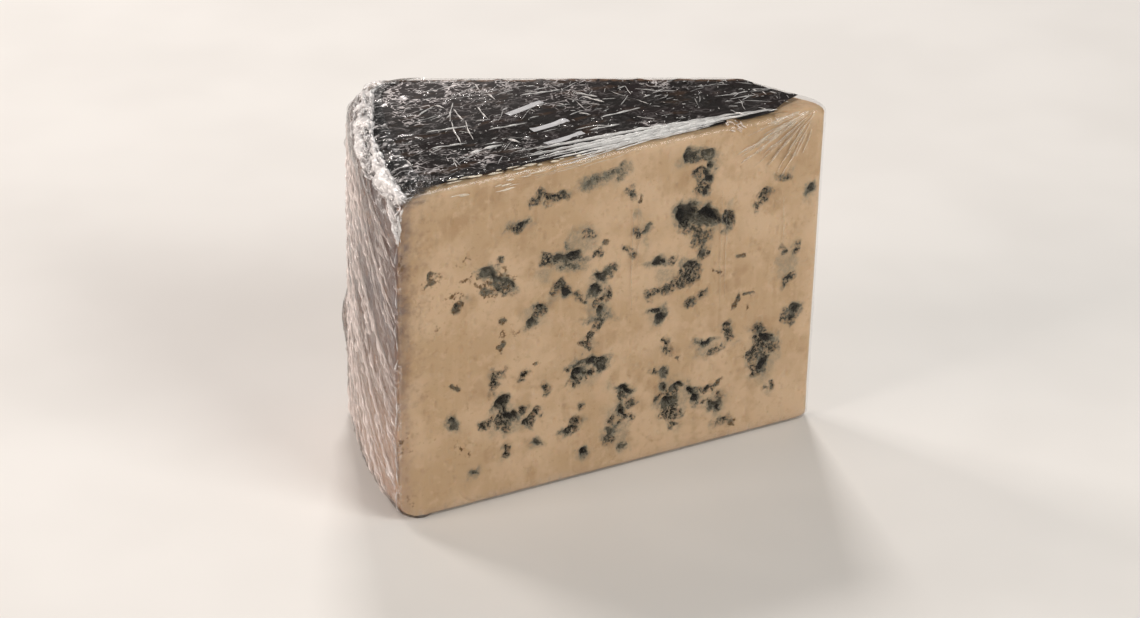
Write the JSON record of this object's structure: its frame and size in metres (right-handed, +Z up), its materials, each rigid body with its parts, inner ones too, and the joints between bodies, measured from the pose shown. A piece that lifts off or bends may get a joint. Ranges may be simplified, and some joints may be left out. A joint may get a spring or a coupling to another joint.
{
  "type": "wedge of blue cheese in cling film",
  "caption": "Tall wedge of blue-veined cheese with a trimmed tip, mould pockets in its cuts, a dark label over its top and a creased clear film wrap.",
  "frame": {"origin": "centre of the bounding box, on the base that the wedge stands on", "axes": "+Z up, the rind faces -X, the trimmed tip points to +X and the veined front cut faces -Y"},
  "size_m": [0.1212, 0.072, 0.0908],
  "materials": {
    "paste": "moist cream paste with blue-green mould",
    "foil": "dark charcoal foil paper, finely scuffed",
    "wrap": "clear creased cling film"
  },
  "bodies": {
    "root": {"cheese": "paste", "label": "foil", "film": "wrap"}
  },
  "joints": []
}
